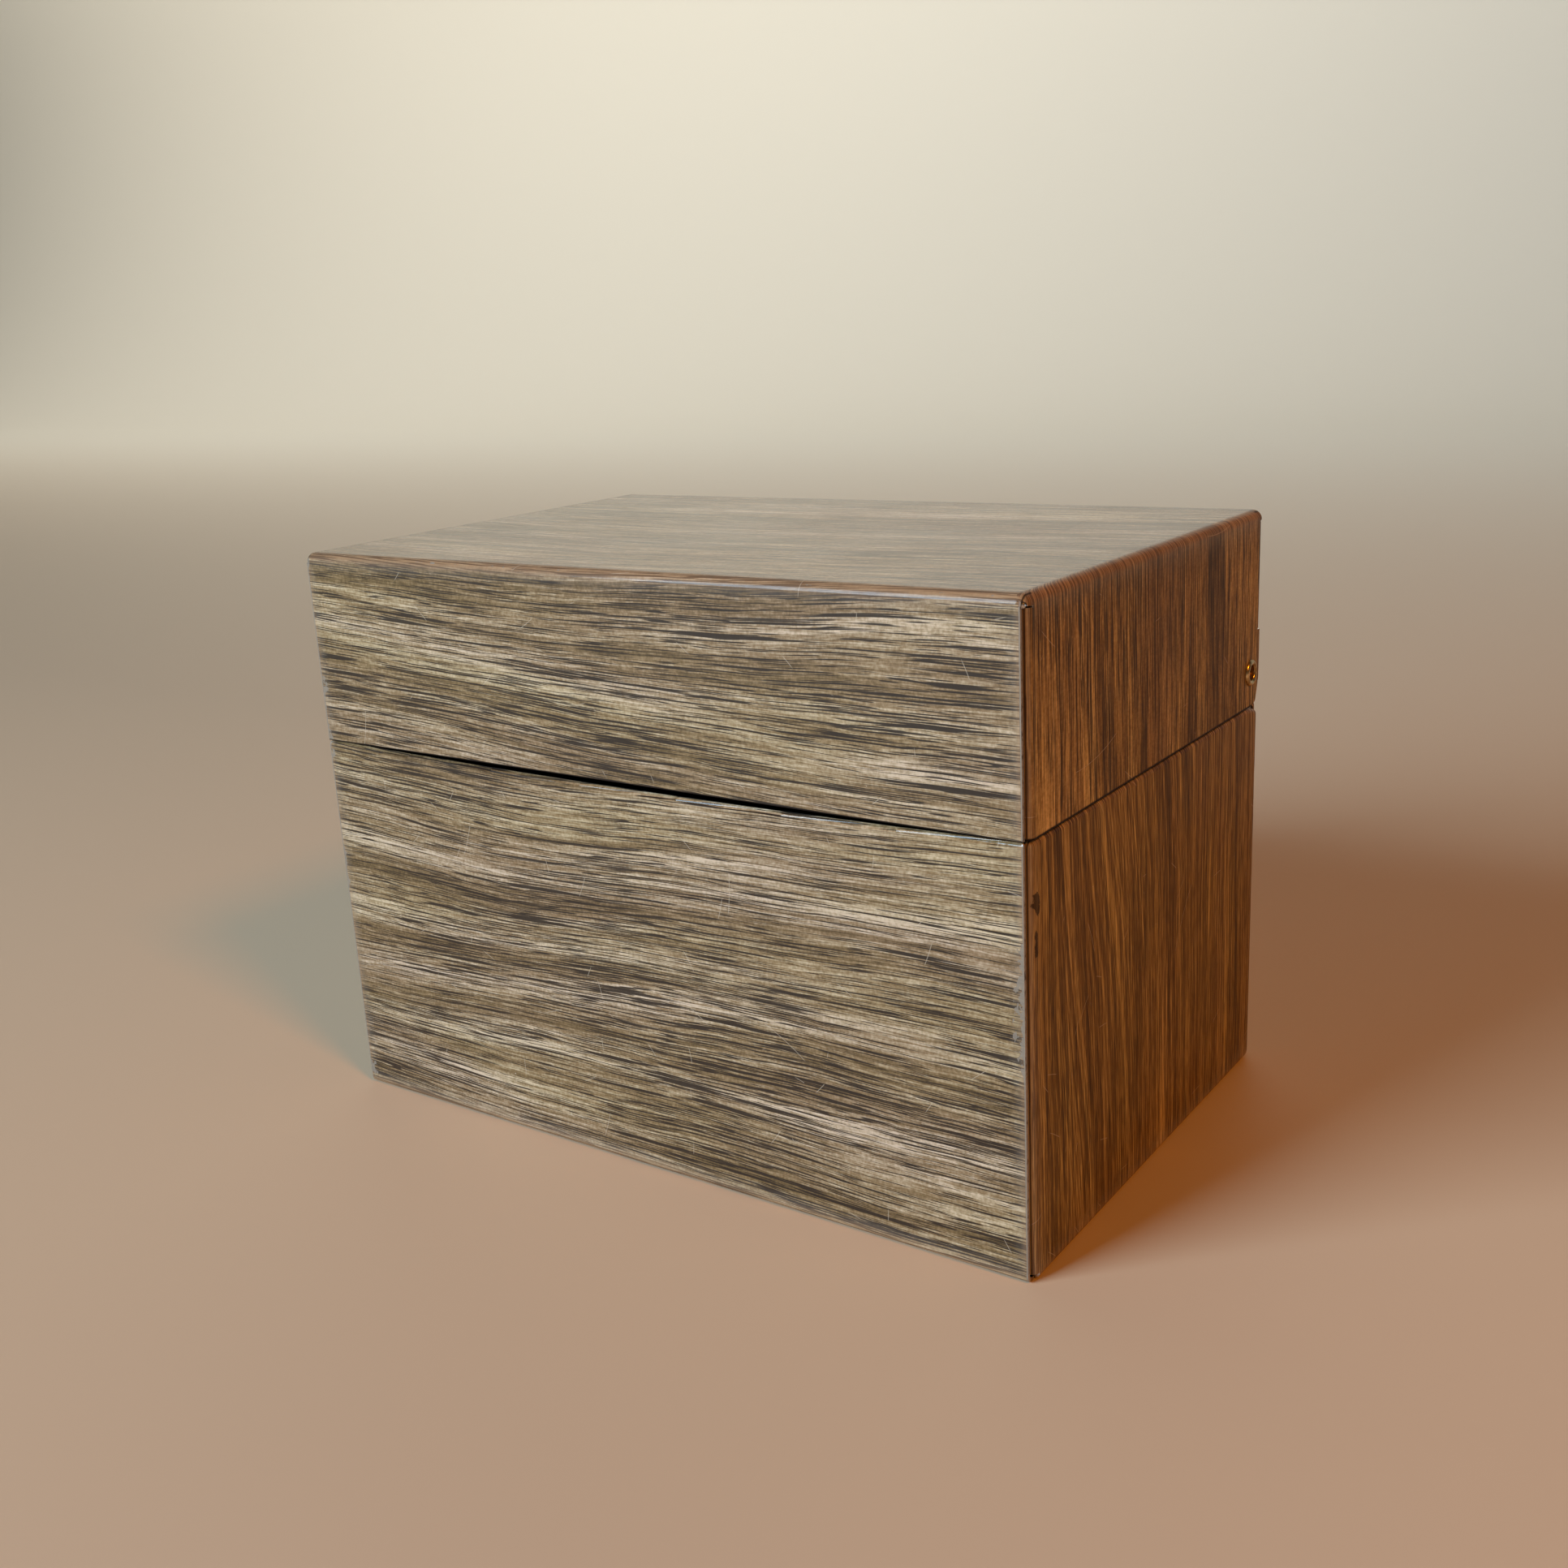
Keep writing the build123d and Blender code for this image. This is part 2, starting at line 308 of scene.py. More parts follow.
def add_tones(tree, tone, layers):
    """A tone with layers of noise added, each with its weight."""
    for layer, weight in layers:
        tone = add_scaled(tree, calc(tree, "SUBTRACT", layer, 0.5), weight, tone)
    return tone


def pore_dashes(tree, grain, coarse, calm):
    """Short dark dashes of the pores, thickest where the wood is dark."""
    patch = streaks(tree, grain, "figure", 50.0, 9.0, 1.0, layer=9.0)
    patch = ramp_between(tree, patch, 0.35, 0.65)
    limit = add_scaled(tree, coarse, 0.04, 0.59)
    limit = add_scaled(tree, patch, 0.06, limit)
    limit = add_scaled(tree, calm, 0.035, limit)
    dashes = []
    for length, width, softness, layer in (
        (13.0, 0.22, 0.05, 13.0), (22.0, 0.30, 0.05, 17.0), (6.0, 0.17, 0.06, 21.0),
    ):
        pores = streaks(tree, grain, "pores", length, width, 0.0, layer=layer)
        above = calc(tree, "SUBTRACT", pores, limit)
        dashes.append(ramp_between(tree, above, -0.02, softness))
    return product(tree, greatest(tree, *dashes), add_scaled(tree, calm, -0.30, 0.97))


def walnut_group():
    """Printed walnut: colour and pores of the grain at a place on the flat sheet, in mm."""
    inputs = [("Sheet", VECTOR, None), ("Calm", NUMBER, 0.0)]
    outputs = [("Color", COLOUR), ("Darkness", NUMBER)]
    tree, entry, leave = new_group("walnut_print", inputs, outputs)
    calm = entry["Calm"]
    grain = grain_lines(tree, entry["Sheet"])

    figure = streaks(tree, grain, "figure", 110.0, 5.5, 1.0)
    band = streaks(tree, grain, "figure", 60.0, 1.7, 2.0, layer=3.0)
    row = streaks(tree, grain, "pores", 38.0, 0.55, 1.0, layer=7.0)
    fibre = streaks(tree, grain, "pores", 20.0, 0.42, 2.0, 0.6)
    hair = streaks(tree, grain, "pores", 3.5, 0.22, 2.0, 0.7)
    fuzz = streaks(tree, grain, "across", 0.45, 0.6, 2.0)
    coarse = add_tones(tree, 0.565, [(figure, 0.76), (band, 0.58), (row, 0.50)])
    busy = add_tones(tree, coarse, [(fibre, 0.56), (hair, 0.82), (fuzz, 0.45)])
    quiet = add_tones(tree, 0.50, [
        (growth_arches(tree, grain), 1.15), (figure, 0.45), (band, 0.45),
        (fibre, 0.75), (hair, 0.95), (row, 0.5),
    ])
    wood = colour_ramp(tree, mix_values(tree, calm, busy, quiet), WOOD_STOPS)

    hue = streaks(tree, grain, "figure", 60.0, 9.0, 1.0, layer=5.0)
    cast = blend(tree, ramp_between(tree, hue, 0.3, 0.7), KHAKI_CAST, ROSE_CAST)
    wood = blend(tree, 1.0, wood, cast, "MULTIPLY")
    depth = pore_dashes(tree, grain, coarse, calm)
    tree.links.new(blend(tree, depth, wood, PORE_INK), leave["Color"])
    tree.links.new(depth, leave["Darkness"])
    return tree


def edge_group():
    """Nearness to a folded edge or corner of the box, from 0 away from it to 1 on it."""
    inputs = [("Place", VECTOR, None), ("Reach", NUMBER, 0.0014), ("Raggedness", NUMBER, 0.0008)]
    tree, entry, leave = new_group("edge_nearness", inputs, [("Nearness", NUMBER)])
    place = entry["Place"]
    x, y, z = parts_of(tree, place)
    to_side = calc(tree, "SUBTRACT", HALF_WIDTH, calc(tree, "ABSOLUTE", x))
    to_end = calc(tree, "SUBTRACT", HALF_DEPTH, calc(tree, "ABSOLUTE", y))
    to_flat = calc(tree, "MINIMUM", calc(tree, "SUBTRACT", BOX_HEIGHT, z), z)
    near = calc(tree, "MINIMUM", to_side, to_end)
    far = calc(tree, "MINIMUM", calc(tree, "MAXIMUM", to_side, to_end), to_flat)
    to_edge = calc(tree, "MAXIMUM", near, far)
    ragged = fine_noise(tree, place, 520.0, 4.0, 0.6)
    ragged = calc(tree, "MULTIPLY", calc(tree, "SUBTRACT", ragged, 0.5), 2.0)
    to_edge = add_scaled(tree, ragged, entry["Raggedness"], to_edge)
    nearness = ramp_between(tree, to_edge, 0.0, entry["Reach"], 1.0, 0.0)
    tree.links.new(nearness, leave["Nearness"])
    return tree


def hairlines(tree, sheet, cell, reach, shift):
    """Straight or slightly bowed scratches, turned at random, at most one to a cell."""
    grid = scaled(tree, vector_calc(tree, "ADD", sheet, shift), (1.0 / cell, 1.0 / cell, 1.0))
    seat = make_node(tree, "ShaderNodeTexVoronoi", {"Vector": grid, "Scale": 1.0}).outputs
    turn, length, presence = parts_of(tree, seat["Color"])
    away = scaled(tree, vector_calc(tree, "SUBTRACT", grid, seat["Position"]), (cell, cell, 0.0))
    angle = product(tree, turn, math.pi)
    turned = make_node(
        tree, "ShaderNodeVectorRotate", {"Vector": away, "Angle": angle}, rotation_type="Z_AXIS")
    lengthwise, sideways, _ = parts_of(tree, turned.outputs[0])
    bow = calc(tree, "MULTIPLY", lengthwise, lengthwise)
    off = calc(tree, "ABSOLUTE", add_scaled(tree, bow, 0.015, sideways))
    line = ramp_between(tree, off, 0.02, 0.08, 1.0, 0.0)
    end = product(tree, length, reach)
    past_end = calc(tree, "SUBTRACT", calc(tree, "ABSOLUTE", lengthwise), end)
    inside = ramp_between(tree, past_end, -0.8, 0.0, 1.0, 0.0)
    return product(tree, line, inside, calc(tree, "GREATER_THAN", presence, 0.45))


def scratch_group():
    """Fine handling marks: hairline scratches, specks and dull smudges."""
    outputs = [("Scratches", NUMBER), ("Specks", NUMBER), ("Smudge", NUMBER)]
    tree, entry, leave = new_group("handling_marks", [("Sheet", VECTOR, None)], outputs)
    sheet = entry["Sheet"]
    short = hairlines(tree, sheet, 9.0, 2.2, (7.0, 3.0, 31.0))
    long = hairlines(tree, sheet, 26.0, 9.0, (2.0, 19.0, 37.0))
    tree.links.new(greatest(tree, short, long), leave["Scratches"])
    grid = scaled(tree, sheet, (0.14, 0.14, 1.0))
    cells = make_node(tree, "ShaderNodeTexVoronoi", {"Vector": grid, "Scale": 1.0}).outputs
    size = add_scaled(tree, parts_of(tree, cells["Color"])[0], 0.018, -0.004)
    tree.links.new(calc(tree, "LESS_THAN", cells["Distance"], size), leave["Specks"])
    smudge = noise(tree, scaled(tree, sheet, (0.045, 0.06, 1.0)), 3.0, 0.6)
    tree.links.new(smudge, leave["Smudge"])
    return tree


def worn_strip(tree, place, bites, to_cut):
    """Strip without print along the cut ends of the front and back, with bites out of it."""
    x, y, z = parts_of(tree, place)
    to_bump = calc(tree, "ABSOLUTE", calc(tree, "SUBTRACT", z, BUMPED_HEIGHT))
    bumped = product(
        tree,
        ramp_between(tree, to_bump, *BUMPED_REACH, 1.0, 0.0),
        calc(tree, "GREATER_THAN", x, 0.0),
        calc(tree, "LESS_THAN", y, 0.0),
    )
    patches = noise(tree, scaled(tree, place, (40.0, 60.0, 75.0)), 1.0)
    bitten = greatest(tree, bumped, ramp_between(tree, patches, 0.60, 0.74))
    bite = product(tree, bitten, ramp_between(tree, bites, 0.42, 0.62, 0.0, 0.0016))
    strip = calc(tree, "ADD", bite, add_scaled(tree, bites, 0.0002, 0.00012))
    past_strip = calc(tree, "SUBTRACT", to_cut, strip)
    return ramp_between(tree, past_strip, -0.00006, 0.00004, 1.0, 0.0)


def painted_crest_highlight(tree, place, bites, above_seam):
    """Painted highlight on the top edge of the body's front panel, towards its right corner."""
    x, y, _ = parts_of(tree, place)
    uneven = add_scaled(tree, bites, 0.0004, above_seam)
    return product(
        tree,
        ramp_between(tree, uneven, -0.00050, -0.00034),
        calc(tree, "LESS_THAN", above_seam, -HAIR),
        ramp_between(tree, x, *CREST_START),
        calc(tree, "LESS_THAN", y, 0.0),
    )


def seam_painted_shade(tree, bites, above_seam, to_cut, to_end):
    """Painted shade: dark lines in the side seams, under the lid's lip and beside the cut ends."""
    from_seam = add_scaled(tree, bites, 0.0002, calc(tree, "ABSOLUTE", above_seam))
    seam = product(
        tree,
        ramp_between(tree, from_seam, 0.00024, 0.00052, 1.0, 0.0),
        calc(tree, "GREATER_THAN", to_end, SHEET + HAIR),
    )
    lip = product(
        tree,
        ramp_between(tree, above_seam, 0.0001, 0.00024, 1.0, 0.0),
        calc(tree, "GREATER_THAN", above_seam, -HAIR),
    )
    slit = product(
        tree,
        ramp_between(tree, to_cut, -0.00034, -0.00014, 0.0, 0.85),
        calc(tree, "LESS_THAN", to_cut, -HAIR),
        calc(tree, "LESS_THAN", to_end, 0.003),
    )
    return greatest(tree, lip, seam, slit)


def side_chip(tree, place, bites, middle, radii):
    """Dark chip in the print, with a ragged outline."""
    away = vector_calc(tree, "SUBTRACT", place, middle)
    away = scaled(tree, away, [1.0 / radius for radius in radii])
    length = make_node(tree, "ShaderNodeVectorMath", {0: away}, operation="LENGTH")
    ragged = add_scaled(tree, bites, 1.6, length.outputs["Value"])
    return ramp_between(tree, ragged, 1.35, 1.5, 1.0, 0.0)


def seam_group():
    """Worn cut ends of the front and back, the painted highlight on the body's front crest, and
    painted shade in the seams together with the chips.
    """
    outputs = [("Worn", NUMBER), ("Seam Shade And Chips", NUMBER), ("Crest Highlight", NUMBER)]
    tree, entry, leave = new_group("seam_and_ends", [("Place", VECTOR, None)], outputs)
    place = entry["Place"]
    x, y, z = parts_of(tree, place)
    to_side = calc(tree, "SUBTRACT", HALF_WIDTH, calc(tree, "ABSOLUTE", x))
    to_end = calc(tree, "SUBTRACT", HALF_DEPTH, calc(tree, "ABSOLUTE", y))
    to_cut = calc(tree, "SUBTRACT", to_side, EDGE_INSET)
    above_seam = calc(tree, "SUBTRACT", z, SEAM)
    bites = noise(tree, scaled(tree, place, (900.0, 900.0, 600.0)), 3.0, 0.6)

    on_end = calc(tree, "LESS_THAN", to_end, SHEET / 2)
    on_face = product(tree, on_end, calc(tree, "GREATER_THAN", to_cut, -HAIR))
    worn = product(tree, worn_strip(tree, place, bites, to_cut), on_face)
    tree.links.new(worn, leave["Worn"])
    # painted highlight on the body's front crest, towards the right corner
    crest = product(tree, painted_crest_highlight(tree, place, bites, above_seam), on_face)
    tree.links.new(crest, leave["Crest Highlight"])

    chips = greatest(tree, *[side_chip(tree, place, bites, *chip) for chip in CHIPS])
    chips = product(tree, chips, CHIP_DEPTH)
    # painted shade in the seams, joined below with the real chips in the print
    painted_shade = seam_painted_shade(tree, bites, above_seam, to_cut, to_end)
    tree.links.new(greatest(tree, painted_shade, chips), leave["Seam Shade And Chips"])
    return tree


WALNUT = walnut_group()
EDGES = edge_group()
MARKS = scratch_group()
SEAM_AND_ENDS = seam_group()


def near_edge(tree, place, reach, raggedness):
    """Nearness to the box's edges within a reach."""
    return use_group(tree, EDGES, Place=place, Reach=reach, Raggedness=raggedness)["Nearness"]


def print_colour(tree, grain, marks, seam, wear_and_sheen, side):
    """Colour of the print with its rubbed folds, painted sheen near the edges, handling marks,
    worn places, a painted highlight on the body's crest, painted seam shade and chips.
    """
    # painted warm cast on the side walls, standing in for the warm lamp's light
    colour = blend(tree, side["turned"], WHITE, side["painted_warmth"])
    colour = blend(tree, 1.0, grain["Color"], colour, "MULTIPLY")
    fold_pores = product(tree, wear_and_sheen["rub"], grain["Darkness"], 0.6)
    for amount, over in (
        # painted sheen: pale grey near the edges, a painted reflection of the window light
        (product(tree, wear_and_sheen["painted_edge_sheen"], 0.28), PAINTED_SHEEN),
        (product(tree, wear_and_sheen["rub"], 0.55), RUBBED_FOLD),
        (fold_pores, FOLD_PORES),
        (product(tree, marks["Scratches"], 0.5), SCRATCHED),
        (marks["Specks"], SPECKED),
        (product(tree, wear_and_sheen["worn"], 0.85), WORN_END),
        # painted highlight on the crest
        (seam["Crest Highlight"], PAINTED_CREST_HIGHLIGHT),
        # painted shade in the seams, with the dark chips
        (seam["Seam Shade And Chips"], SHADE_AND_CHIP_DARK),
    ):
        colour = blend(tree, amount, colour, over)
    return colour


def print_gloss(tree, shader, grain, marks, seam, wear_and_sheen, turned):
    """Satin lacquer over the print, duller where it is smudged, rubbed or worn, and under the
    painted seam shade and the chips.
    """
    rough = add_scaled(tree, marks["Smudge"], 0.16, 0.42)
    rough = add_scaled(tree, wear_and_sheen["rub"], 0.16, rough)
    rough = add_scaled(tree, grain["Darkness"], 0.05, rough)
    tree.links.new(rough, shader.inputs["Roughness"])
    covered = calc(tree, "SUBTRACT", 1.0, greatest(tree, wear_and_sheen["worn"], seam["Seam Shade And Chips"]))
    coat = product(
        tree,
        add_scaled(tree, marks["Smudge"], -0.3, 0.85, clamp=True),
        add_scaled(tree, turned, -0.8, 1.0),
        add_scaled(tree, wear_and_sheen["rub"], -0.85, 1.0, clamp=True),
        covered,
    )
    tree.links.new(coat, shader.inputs["Coat Weight"])
    shader.inputs["Coat Roughness"].default_value = 0.12
    shader.inputs["Coat IOR"].default_value = 1.45
    shader.inputs["Specular IOR Level"].default_value = 0.15


def print_relief(tree, shader, place, grain, marks, wear_and_sheen):
    """Orange peel and slow waves of the lacquer, with pores, scratches and worn edges cut in."""
    peel = fine_noise(tree, place, 900.0)
    waves = fine_noise(tree, place, 55.0, 1.0)
    height = add_scaled(tree, waves, 6.0, peel)
    height = add_scaled(tree, grain["Darkness"], -0.5, height)
    height = add_scaled(tree, marks["Scratches"], -1.5, height)
    height = add_scaled(tree, wear_and_sheen["worn"], -4.0, height)
    add_bump(tree, shader, height, 0.6, 0.000012)


def printed_walnut(name, seed, offset, side_calm, side_painted_warmth):
    """Printed and lacquered outside of a blank, rubbed at its folds."""
    material, tree, shader = new_material(name)
    blank = make_node(tree, "ShaderNodeUVMap", uv_map="blank").outputs[0]
    sheet = vector_calc(tree, "MULTIPLY_ADD", blank, (1000.0, 1000.0, 0.0), (*offset, seed))
    place = object_place(tree)
    reach = calc(tree, "ABSOLUTE", parts_of(tree, blank)[0])
    turned = ramp_between(tree, reach, HALF_WIDTH - 0.004, HALF_WIDTH + 0.006)
    grain = use_group(tree, WALNUT, Sheet=sheet, Calm=product(tree, turned, side_calm))
    marks = use_group(tree, MARKS, Sheet=sheet)
    seam = use_group(tree, SEAM_AND_ENDS, Place=place)
    chipped = ramp_between(tree, near_edge(tree, place, 0.0006, 0.0011), 0.80, 0.92)
    wear_and_sheen = {
        "rub": near_edge(tree, place, 0.0021, 0.0005),
        # painted_edge_sheen is painted sheen, a pale veil near the edges standing in for the
        # window's reflection; rub and worn are wear
        "painted_edge_sheen": near_edge(tree, place, 0.0036, 0.0010),
        "worn": greatest(tree, chipped, seam["Worn"]),
    }
    # painted warm cast of the side walls, standing in for the warm lamp's light
    side = {"turned": turned, "painted_warmth": (*side_painted_warmth, 1.0)}
    colour = print_colour(tree, grain, marks, seam, wear_and_sheen, side)
    tree.links.new(colour, shader.inputs["Base Color"])
    tree.links.new(product(tree, wear_and_sheen["worn"], 0.2), shader.inputs["Metallic"])
    print_gloss(tree, shader, grain, marks, seam, wear_and_sheen, turned)
    print_relief(tree, shader, place, grain, marks, wear_and_sheen)
    return material


def bare_edge():
    """Cut edge of the steel sheet, bright with a few dull spots."""
    material, tree, shader = new_material("bare_steel_edge")
    place = object_place(tree)
    spots = fine_noise(tree, place, 700.0, 3.0, 0.6)
    drag = noise(tree, scaled(tree, place, (300.0, 9000.0, 300.0)), 1.0)
    colour = colour_ramp(tree, spots, [
        (0.34, (0.30, 0.27, 0.25)), (0.46, (0.66, 0.65, 0.64)), (0.7, (0.82, 0.82, 0.82)),
    ])
    tree.links.new(colour, shader.inputs["Base Color"])
    shader.inputs["Metallic"].default_value = 1.0
    tree.links.new(add_scaled(tree, spots, -0.3, 0.5), shader.inputs["Roughness"])
    add_bump(tree, shader, drag, 0.4, 0.00001)
    return material


def inside_lacquer():
    """Plain brown lacquer on the inside of the blanks, rubbed by the cards."""
    material, tree, shader = new_material("inside_lacquer")
    place = object_place(tree)
    cloud = fine_noise(tree, place, 55.0, 4.0, 0.6)
    rubbed = noise(tree, scaled(tree, place, (160.0, 160.0, 1600.0)), 3.0, 0.6)
    tone = add_scaled(tree, rubbed, 0.35, calc(tree, "MULTIPLY", cloud, 0.65))
    colour = colour_ramp(tree, tone, [
        (0.34, (0.105, 0.074, 0.046)), (0.5, (0.135, 0.097, 0.062)), (0.66, (0.175, 0.130, 0.087)),
    ])
    tree.links.new(colour, shader.inputs["Base Color"])
    tree.links.new(add_scaled(tree, tone, -0.25, 0.55), shader.inputs["Roughness"])
    add_bump(tree, shader, fine_noise(tree, place, 1100.0), 0.5, 0.00001)
    return material


def rivet_brass():
    """Rolled brass of the pivot rivets, with darker tarnished patches."""
    material, tree, shader = new_material("rolled_brass")
    cloud = fine_noise(tree, object_place(tree), 900.0, 3.0, 0.6)
    colour = colour_ramp(tree, cloud, [
        (0.34, (0.34, 0.22, 0.09)), (0.5, (0.66, 0.48, 0.24)), (0.68, (0.88, 0.70, 0.42)),
    ])
    tree.links.new(colour, shader.inputs["Base Color"])
    shader.inputs["Metallic"].default_value = 1.0
    tree.links.new(add_scaled(tree, cloud, -0.25, 0.44), shader.inputs["Roughness"])
    add_bump(tree, shader, cloud, 0.4, 0.00002)
    return material


def pale_floor():
    """Plain pale surface, warmer on the floor than up the backdrop."""
    material, tree, shader = new_material("pale_floor")
    back = ramp_between(tree, parts_of(tree, object_place(tree))[1], 0.05, 1.4)
    colour = blend(tree, back, (0.66, 0.50, 0.345, 1.0), (0.72, 0.69, 0.63, 1.0))
    tree.links.new(colour, shader.inputs["Base Color"])
    shader.inputs["Roughness"].default_value = 0.6
    return material


def past_fold(flat, down, fold):
    """Distance along the sheet from where a fold begins, round it and down a wall."""
    if down < fold:
        return fold * math.atan2(flat, fold - down)
    return fold * math.pi / 2 + down - fold


def on_blank(point, panel, down, fold):
    """Place of a point on the unfolded blank: along the grain, and across it."""
    along, across = point.x, point.y
    if panel == "side" and abs(point.x) > HALF_WIDTH - fold:
        side = HALF_WIDTH - fold
        along = math.copysign(side + past_fold(abs(point.x) - side, down, fold), point.x)
    if panel == "end" and abs(point.y) > HALF_DEPTH - fold:
        end = HALF_DEPTH - fold
        across = math.copysign(end + past_fold(abs(point.y) - end, down, fold), point.y)
    corner = HALF_DEPTH - CORNER_FOLD
    if panel == "side" and abs(point.y) > corner:
        turn = math.atan2(abs(point.y) - corner, abs(point.x) - (HALF_WIDTH - BODY_FOLD))
        across = math.copysign(corner + BODY_FOLD * turn, point.y)
    return along, across


def panel_of(centre, fold):
    """The wall that a face belongs to: an end wall with its folds, or a side or flat one."""
    if abs(centre.y) > HALF_DEPTH - SHEET - HAIR:
        return "end"
    if abs(centre.x) > HALF_WIDTH - fold - HAIR:
        return "side"
    if abs(centre.y) > HALF_DEPTH - fold:
        return "end"
    return "side"


def in_hem(centre, normal):
    """Printed skin of the hem, where the front panel of the body is folded back inside."""
    high = SEAM - HEM_DEPTH < centre.z < SEAM
    return high and normal.y > 0.2 and centre.y < HEM_BACK - HALF_DEPTH + HAIR


def finish_of(centre, normal, core_low, core_high):
    """Finish of a face, told by whether it looks away from the shell's inner box or into it."""
    nearest = Vector(max(low, min(high, c)) for low, high, c in zip(core_low, core_high, centre))
    outwards = (centre - nearest).normalized().dot(normal)
    panel_edge = abs(abs(centre.x) - (HALF_WIDTH - EDGE_INSET)) < HAIR and abs(normal.x) > 0.9
    if panel_edge and abs(centre.y) > HALF_DEPTH - SHEET:
        return BARE
    if outwards > 0.2:
        return PRINTED
    return LACQUERED if outwards < -0.2 else BARE


def dress_faces(shell, node, fold, flat, core_low, core_high):
    """A finish on each face of a shell, and a map of its unfolded blank."""
    for layer in list(shell.loops.layers.uv):
        shell.loops.layers.uv.remove(layer)
    blank = shell.loops.layers.uv.new("blank")
    for face in shell.faces:
        centre = face.calc_center_median()
        face.material_index = finish_of(centre, face.normal, core_low, core_high)
        if node == "body_shell" and in_hem(centre, face.normal):
            face.material_index = PRINTED
        face.smooth = True
        panel = panel_of(centre, fold)
        for corner in face.loops:
            point = corner.vert.co
            corner[blank].uv = on_blank(point, panel, abs(point.z - flat), fold)
    for edge in shell.edges:
        folded = edge.calc_face_angle(0.0) > math.radians(28.0)
        parted = len({face.material_index for face in edge.link_faces}) > 1
        edge.smooth = not (folded or parted)


def dressed_shell(node, name, materials, fold, flat, core_low, core_high):
    """Copy of a folded shell with its finishes. Flat is the height of its flat panel."""
    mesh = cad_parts[node].data.copy()
    mesh.name = name
    mesh.materials.clear()
    for material in materials:
        mesh.materials.append(material)
    shell = bmesh.new()
    shell.from_mesh(mesh)
    bmesh.ops.remove_doubles(shell, verts=shell.verts, dist=1e-7)
    dress_faces(shell, node, fold, flat, core_low, core_high)
    shell.to_mesh(mesh)
    shell.free()
    piece = bpy.data.objects.new(name, mesh)
    bpy.context.scene.collection.objects.link(piece)
    weighted = piece.modifiers.new("face_normals", "WEIGHTED_NORMAL")
    weighted.keep_sharp = True
    return piece


def make_body(inside, edge):
    """Body, dressed in its printed sheet."""
    inset = BODY_FOLD + SHEET
    body = dressed_shell(
        "body_shell",
        "printed_body",
        [printed_walnut("printed_walnut_body", **BODY_PRINT), inside, edge],
        fold=BODY_FOLD,
        flat=0.0,
        core_low=(inset - HALF_WIDTH, inset - HALF_DEPTH, inset),
        core_high=(HALF_WIDTH - inset, HALF_DEPTH - inset, PAST_OPENING),
    )
    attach(body, "body")
    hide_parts("body_shell")


def make_lid(inside, edge):
    """Lid, dressed in its printed sheet."""
    inset = LID_FOLD + SHEET
    lid = dressed_shell(
        "lid_shell",
        "printed_lid",
        [printed_walnut("printed_walnut_lid", **LID_PRINT), inside, edge],
        fold=LID_FOLD,
        flat=BOX_HEIGHT,
        core_low=(inset - HALF_WIDTH, inset - HALF_DEPTH, -PAST_OPENING),
        core_high=(HALF_WIDTH - inset, HALF_DEPTH - inset, BOX_HEIGHT - inset),
    )
    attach(lid, "lid")
    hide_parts("lid_shell")


def make_corner_tips(edge):
    """Bare tips of the folded tabs, which close the small holes in the lid's four corners."""
    tips = bmesh.new()
    for across in (-1.0, 1.0):
        for back in (-1.0, 1.0):
            x, y = across * (HALF_WIDTH - TIP_INSET), back * (HALF_DEPTH - TIP_INSET)
            tip = bmesh.ops.create_uvsphere(
                tips, u_segments=24, v_segments=16, radius=TIP_RADIUS)
            bmesh.ops.scale(tips, verts=tip["verts"], vec=(1.0, 1.0, TIP_STRETCH))
            bmesh.ops.translate(tips, verts=tip["verts"], vec=(x, y, TIP_HEIGHT))
    mesh = bpy.data.meshes.new("corner_tab_tips")
    tips.to_mesh(mesh)
    tips.free()
    for face in mesh.polygons:
        face.use_smooth = True
    mesh.materials.append(edge)
    piece = bpy.data.objects.new("corner_tab_tips", mesh)
    bpy.context.scene.collection.objects.link(piece)
    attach(piece, "lid")


def dress_rivets():
    """Brass on the two packed rivets."""
    brass = rivet_brass()
    for name in ("pivot_rivet_left", "pivot_rivet_right"):
        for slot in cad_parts[name].material_slots:
            slot.material = brass


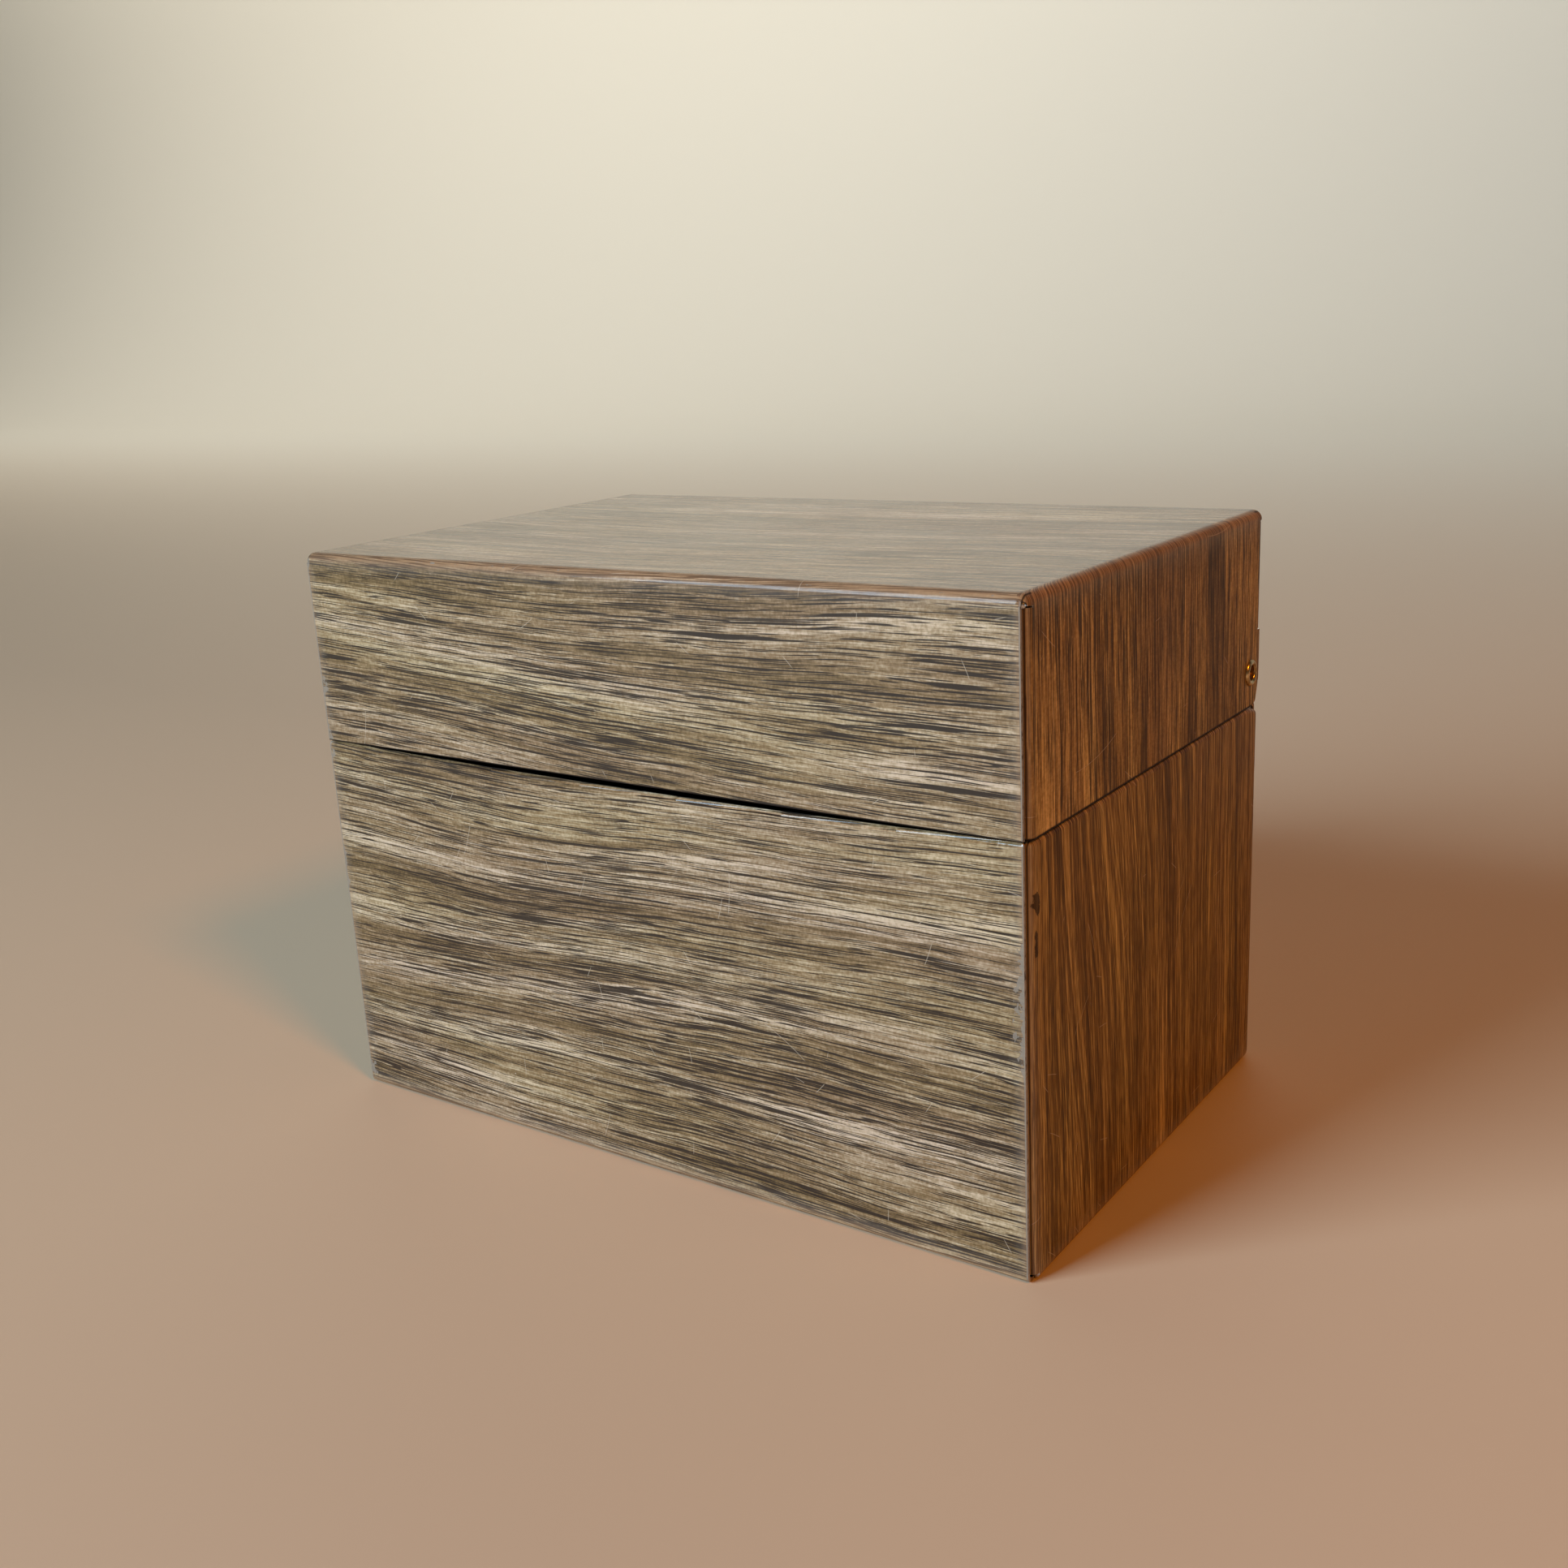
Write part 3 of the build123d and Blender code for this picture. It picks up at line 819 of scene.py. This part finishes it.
def make_stage():
    """Plain pale floor that curves up into a far backdrop."""
    reach, back, rise, bend = 4.0, 2.2, 3.0, 0.8
    stage = bmesh.new()
    first = stage.verts.new((-reach, -reach, 0.0))
    last = stage.verts.new((-reach, back - bend, 0.0))
    stage.edges.new((first, last))
    bmesh.ops.spin(
        stage, geom=[last], cent=(0.0, back - bend, bend), axis=(1.0, 0.0, 0.0),
        angle=math.pi / 2, steps=16, use_duplicate=False,
    )
    stage.verts.ensure_lookup_table()
    end = max(stage.verts, key=lambda vert: vert.co.z)
    top = stage.verts.new((-reach, back, rise))
    stage.edges.new((end, top))
    swept = bmesh.ops.extrude_edge_only(stage, edges=list(stage.edges))
    moved = [part for part in swept["geom"] if isinstance(part, bmesh.types.BMVert)]
    bmesh.ops.translate(stage, verts=moved, vec=(2 * reach, 0.0, 0.0))
    bmesh.ops.recalc_face_normals(stage, faces=stage.faces)
    mesh = bpy.data.meshes.new("studio_floor")
    stage.to_mesh(mesh)
    stage.free()
    mesh.materials.append(pale_floor())
    for face in mesh.polygons:
        face.use_smooth = True
    floor = bpy.data.objects.new("studio_floor", mesh)
    bpy.context.scene.collection.objects.link(floor)


def soft_light(name, place, aim, wide, tall, power, colour):
    """Flat lamp with soft shadows."""
    lamp = bpy.data.lights.new(name, "AREA")
    lamp.shape = "RECTANGLE"
    lamp.size = wide
    lamp.size_y = tall
    lamp.energy = power
    lamp.color = colour
    holder = bpy.data.objects.new(name, lamp)
    holder.location = place
    holder.rotation_euler = (Vector(aim) - Vector(place)).to_track_quat("-Z", "Y").to_euler()
    bpy.context.scene.collection.objects.link(holder)


def make_lights():
    """Cool window light from the front left, a warm lamp at the right, and a lit backdrop."""
    box = (0.0, 0.0, 0.05)
    soft_light(
        "front_window", place=(-0.68, -1.32, 0.78), aim=box, wide=0.8, tall=0.8, power=31.0,
        colour=(0.68, 0.87, 1.03))
    soft_light(
        "right_lamp", place=(0.70, -0.29, 0.78), aim=box, wide=0.18, tall=0.18, power=3.7,
        colour=(1.0, 0.335, 0.015))
    soft_light(
        "backdrop_wash", place=(-1.9, 0.7, 1.6), aim=(-1.9, 2.2, 1.1), wide=3.4, tall=0.8,
        power=45.0, colour=(1.0, 0.95, 0.82))
    world = bpy.data.worlds.new("pale_surround")
    world.use_nodes = True
    shade = world.node_tree.nodes["Background"]
    shade.inputs["Color"].default_value = (0.95, 0.95, 0.9, 1.0)
    shade.inputs["Strength"].default_value = 0.015
    bpy.context.scene.world = world


def make_camera():
    """Camera where the photograph was taken from."""
    lens = bpy.data.cameras.new("photo_view")
    lens.lens = LENS
    lens.sensor_width = SENSOR
    lens.clip_start = 0.01
    view = bpy.data.objects.new("photo_view", lens)
    view.location = CAMERA_PLACE
    view.rotation_euler = Euler([math.radians(turn) for turn in CAMERA_TURN])
    bpy.context.scene.collection.objects.link(view)
    bpy.context.scene.camera = view


inside_finish = inside_lacquer()
edge_finish = bare_edge()
make_body(inside_finish, edge_finish)
make_lid(inside_finish, edge_finish)
make_corner_tips(edge_finish)
dress_rivets()
make_stage()
make_lights()
make_camera()
bpy.context.scene.view_settings.view_transform = "Standard"
